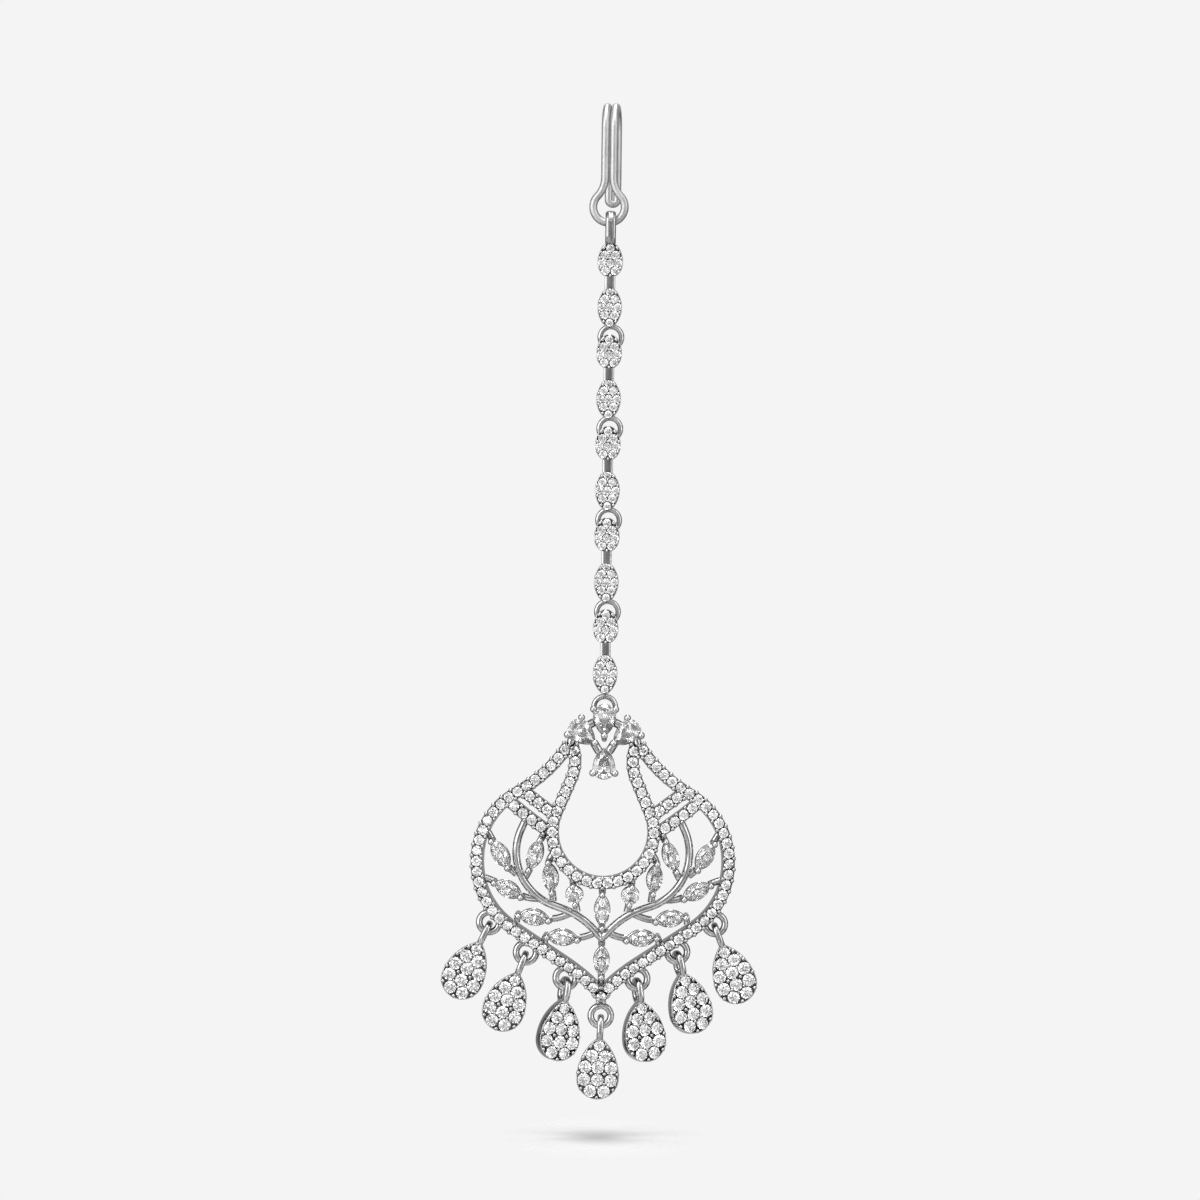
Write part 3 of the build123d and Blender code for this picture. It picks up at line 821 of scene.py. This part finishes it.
leaf_stone = clear_stone("leaf_stone", grey(0.95, 0.015), grey(0.98, 0.005), milk=0.08)
metal = []
for name, outline, half, x, z, direction, root, foot in stones:
    metal.append(rail(outline, framed(x, z, direction, rail_sunk)))
    seat = framed(x, z, direction)
    if root:
        way = np.array((math.cos(math.radians(direction)), math.sin(math.radians(direction))))
        middle = np.array((x, z))
        for sign, goal in ((-1, root), (1, foot)):
            metal.append(prong(seat, (0, sign * (half + end_beyond)), *end_prong))
            line = bent_arm(middle + sign * (half - arm_overlap) * way, sign * way, goal)
            metal.append(wire(line, arm_wire, rail_sunk, 0.1))
    else:
        out = pear_width / 2 + foot_beyond
        for angle in np.radians((-foot_angle, foot_angle)):
            spot = (math.sin(angle) * out, -math.cos(angle) * out)
            metal.append(prong(seat, spot, *foot_prong))
        if name != "pear_bottom":
            point = pear_length - pear_width / 2 + point_beyond
            metal.append(prong(seat, (0, point), *point_prong))
    shape, faces = cut_stone(outline(0)[::3])
    place, across, along, outward = seat
    shape = (place + outward * stone_lift + shape[:, :1] * across + shape[:, 1:2] * along
             + shape[:, 2:] * outward)
    gem = new_piece(f"cut_{name}", [(shape, faces)], leaf_stone, facet_angle)
    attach(gem, "pendant")
    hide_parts(name)
for start, end, sunk in crown_bars:
    for side in (1, -1):
        metal.append(wire(straight(start, end) * (side, 1), crown_wire, sunk, 0.3))
cross = straight((-cross_half, pivot_z), (cross_half, pivot_z))
metal.append(wire(cross, cross_wire, cross_sunk, 0.1))
post_front = on_dome((0, pivot_z))[0][1] + post_sunk
post_back = pivot_y - loop_radius
post = np.linspace((0, post_front, pivot_z), (0, post_back, pivot_z), 6)
metal.append(skin(carried(post, np.tile(x_way, (6, 1)), round_profile(loop_wire, 14))))
metal.append(torus((0, pivot_y, pivot_z), loop_radius, loop_wire, -facing, z_way))
settings = new_piece("settings", metal, polished_wire)
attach(settings, "pendant")
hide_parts("pendant_frame")

# ---- Drops ------------------------------------------------------------------------------------
# Seven paved teardrops, each under its own bail on a round ring soldered behind the outer band.
# Cast silver cups with rows of round stones that raised beads hold.
# ring x, ring z, where round the ring the drop hangs, its lean, its turn about its own upright
drops = [
    (-14.1, -101.72, -20.0, -26.0, 0.0),
    (-9.45, -105.45, -20.0, -21.0, 0.0),
    (-4.45, -108.6, -5.0, -7.5, 22.0),
    (0.0, -113.3, -1.5, -2.5, 0.0),
    (4.5, -108.62, 2.0, 8.0, 18.0),
    (9.45, -105.15, 8.0, 14.5, 18.0),
    (14.13, -101.6, 16.0, 21.0, 0.0),
]
drop_ring_radius = 1.25
drop_ring_wire = 0.86
drop_length = 7.85
drop_width = 5.35
drop_front = 0.9
drop_back = 0.7
drop_rim = 0.12
drop_well = 0.75
drop_bead_sunk = 0.04             # under the cup's rim
drop_bead_least, drop_bead_most = 0.17, 0.27
drop_bail_straight = 0.7
drop_bail_wire = 0.84
point_below_foot = 2.6 - drop_ring_radius
last_ring_z = -111.65             # where the bands' tip meets the lowest drop's ring
# way down from the drop's tip, stones' places across, stone's diameter
drop_rows = [(1.16, (0,), 1.32), (2.42, (-0.82, 0.82), 1.52), (3.85, (-1.62, 0, 1.62), 1.56),
             (5.42, (-1.68, 0, 1.68), 1.56), (6.82, (-0.86, 0.86), 1.52)]


def hung(part, foot, lean, turn):
    """A drop's part turned about its upright, leaned sideways, and hung on its ring's foot."""
    c, s = math.cos(math.radians(lean)), math.sin(math.radians(lean))
    places = turned(part[0], turn) @ np.array(((c, 0, s), (0, 1, 0), (-s, 0, c)))
    return places + foot, *part[1:]


drop_silver = silver("drop_silver", dark=0.42, light=0.54, smooth=0.10, rough=0.24, grain=0.35)
outline = teardrop(drop_length, drop_width)
middle_z = drop_width / 2 - drop_length - point_below_foot
plate = moved(cup(outline, drop_front, drop_back, drop_rim, drop_well), (0, 0, middle_z))
flat = np.array([(x, drop_length - drop_width / 2 - down)
                 for down, xs, _ in drop_rows for x in xs])
sizes = np.array([size for _, xs, size in drop_rows for _ in xs])
spots, radii = bead_places(flat, sizes / 2, outline, bead_inset)
spots = np.insert(spots + (0, middle_z), 1, -drop_front + drop_bead_sunk, axis=1)
radii = np.clip(radii, drop_bead_least, drop_bead_most)
beads = set_out(bead_post(), spots, np.tile(facing, (len(spots), 1)), radii, bead_spin)
bail = slot_loop((0, 0, 0), drop_ring_wire / 2 + bail_play, drop_bail_straight, drop_bail_wire,
                 drop_bail_wire)
centres = np.insert(flat + (0, middle_z), 1, -drop_front, axis=1)
forward = np.tile(facing, (len(flat), 1))
rings = []
for count, (x, z, hang, lean, turn) in enumerate(drops):
    if x == 0:
        y = on_dome((0, last_ring_z))[0][1] + band_depth / 2
    else:
        inward = np.array((0, dome_centre[2])) - (x, z)
        inward *= drop_ring_radius / np.linalg.norm(inward)
        y = on_dome((x, z) + inward)[0][1] + band_depth + drop_ring_wire / 2 - solder_depth
    rings.append(torus((x, y, z), drop_ring_radius, drop_ring_wire, x_way, z_way))
    hang = math.radians(hang)
    foot = (x + drop_ring_radius * math.sin(hang), y, z - drop_ring_radius * math.cos(hang))
    parts = [hung(part, foot, lean, turn) for part in (plate, beads, bail)]
    drop = new_piece(f"drop_{count + 1}_silver", parts, drop_silver)
    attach(drop, "pendant")
    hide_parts(f"drop_{count + 1}")
    gems = set_out(round_stone(), centres, forward, sizes, stone_spin + count, stone_tilt)
    gems = hung(gems, foot, lean, turn)
    gems = new_piece(f"drop_{count + 1}_stones", [gems], pave_stone, facet_angle)
    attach(gems, "pendant")
rings = new_piece("drop_rings", rings, polished_wire)
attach(rings, "pendant")
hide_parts("pendant_frame")

# ---- Studio -----------------------------------------------------------------------------------
# A pale round floor that fades out, with a painted shadow darkening its colour under the jewel,
# a pale room and soft boxes overhead and at both sides. The camera looks level at the jewel from
# far off, leaned by a little less than a degree. Lengths are in metres here.
camera_aside, camera_away, camera_height = -0.00075, 1.0, -0.06125
camera_lean = -0.72
floor_z = -0.1285
floor_radius = 0.5
shade_reach = 0.0062              # of the painted shadow, to each side of the middle
shade_ratio = 0.36                # of that reach to the one front to back
shade_tone, floor_tone = grey(0.38), grey(0.605)
fade_start, fade_end = 0.004, 0.014
room_least = 0.065
room_seen = 0.905

camera = bpy.data.cameras.new("camera")
camera.lens = 240.0
camera.sensor_width = 36.0
camera.clip_start, camera.clip_end = 0.05, 20.0
eye = bpy.data.objects.new("camera", camera)
eye.location = (camera_aside, -camera_away + pivot_y * millimetre, camera_height)
eye.rotation_euler = (math.radians(90), math.radians(camera_lean), 0)
bpy.context.scene.collection.objects.link(eye)
bpy.context.scene.camera = eye
bpy.context.scene.view_settings.view_transform = "Standard"

turn = np.linspace(0, 2 * math.pi, 96, endpoint=False)[:, None]
radius = np.linspace(0.001, floor_radius, 12)
disc = np.stack((radius * np.cos(turn), radius * np.sin(turn), floor_z + 0 * radius * turn), -1)
disc_places, disc_faces = skin(disc.transpose(1, 0, 2))
mesh = bpy.data.meshes.new("floor")
mesh.from_pydata(disc_places, [], disc_faces[:-1])
floor = bpy.data.objects.new("floor", mesh)
bpy.context.scene.collection.objects.link(floor)
material, shader, places = surface("pale_floor", Roughness=0.9, Specular_IOR_Level=0.0)
tree = material.node_tree
flattened = {0: places, 1: (1, shade_ratio, 0)}
level = places.node("ShaderNodeVectorMath", {"operation": "MULTIPLY"}, flattened)
reach = places.node("ShaderNodeVectorMath", {"operation": "LENGTH"}, {0: level}, "Value")
speckle = places.noise(60.0) * 0.02
# painted shadow: the floor's colour is darker in an oval under the jewel, beside the real shadow
# of the overhead box
shade = reach.between(0.0, 1.0, 0.0, shade_reach) + speckle
feed(shader, Base_Color=shade.blend(shade_tone, floor_tone))
glow = places.node("ShaderNodeEmission", (), {"Color": grey(1.0), "Strength": 1.0})
lit = Socket(tree, shader.outputs["BSDF"])
paper = places.node("ShaderNodeMixShader", (), {0: 0.1, 1: lit, 2: glow})
clear = places.node("ShaderNodeBsdfTransparent")
fade = reach.between(0.0, 1.0, fade_start, fade_end)
ground = places.node("ShaderNodeMixShader", (), {0: fade, 1: paper, 2: clear})
tree.links.new(ground.socket, tree.nodes["Material Output"].inputs["Surface"])
mesh.materials.append(material)

# The room lights the jewel from in front, in soft patches that are brighter above and at the
# left and weaker straight ahead, with a faint glow from behind and a little from everywhere.
# Where the camera sees the room itself, it is one plain tone.
world = bpy.data.worlds.new("studio")
bpy.context.scene.world = world
world.use_nodes = True
background = world.node_tree.nodes["Background"]
view = Socket(world.node_tree).node("ShaderNodeTexCoord", output="Generated")
side, back, up = (view.node("ShaderNodeSeparateXYZ", (), {"Vector": view}, axis) for axis in "XYZ")
seen = view.node("ShaderNodeLightPath", output="Is Camera Ray")
front = 0 - back
tent = front.between(0.0, 1.0, -0.2, 0.15) * front.between(1.0, 0.35, 0.955, 0.985)
patches = view.noise(5.0, 1.0).between(0.2, 1.8, 0.43, 0.58)
fall = side * -0.25 + up * 0.3 + 0.95
room = tent * patches * fall + back.between(0.0, 0.45, 0.4, 0.8) + room_least
room = room * (1 - seen) + seen * room_seen
world.node_tree.links.new(room.socket, background.inputs["Color"])


def soft_box(name, place, width, height, power):
    """A soft box that looks at the jewel's middle."""
    middle = Vector((0, 0, -0.07))
    light = bpy.data.lights.new(name, "AREA")
    light.shape = "RECTANGLE"
    light.size, light.size_y, light.energy = width, height, power
    box = bpy.data.objects.new(name, light)
    box.location = place
    box.rotation_euler = (middle - Vector(place)).to_track_quat("-Z", "Y").to_euler()
    bpy.context.scene.collection.objects.link(box)


soft_box("overhead", (0, 0.0, 0.7), 0.2, 0.9, 7.0)
soft_box("left", (-0.55, -0.55, 0.15), 0.18, 0.7, 1.6)
soft_box("right", (0.6, -0.5, 0.1), 0.14, 0.7, 1.0)
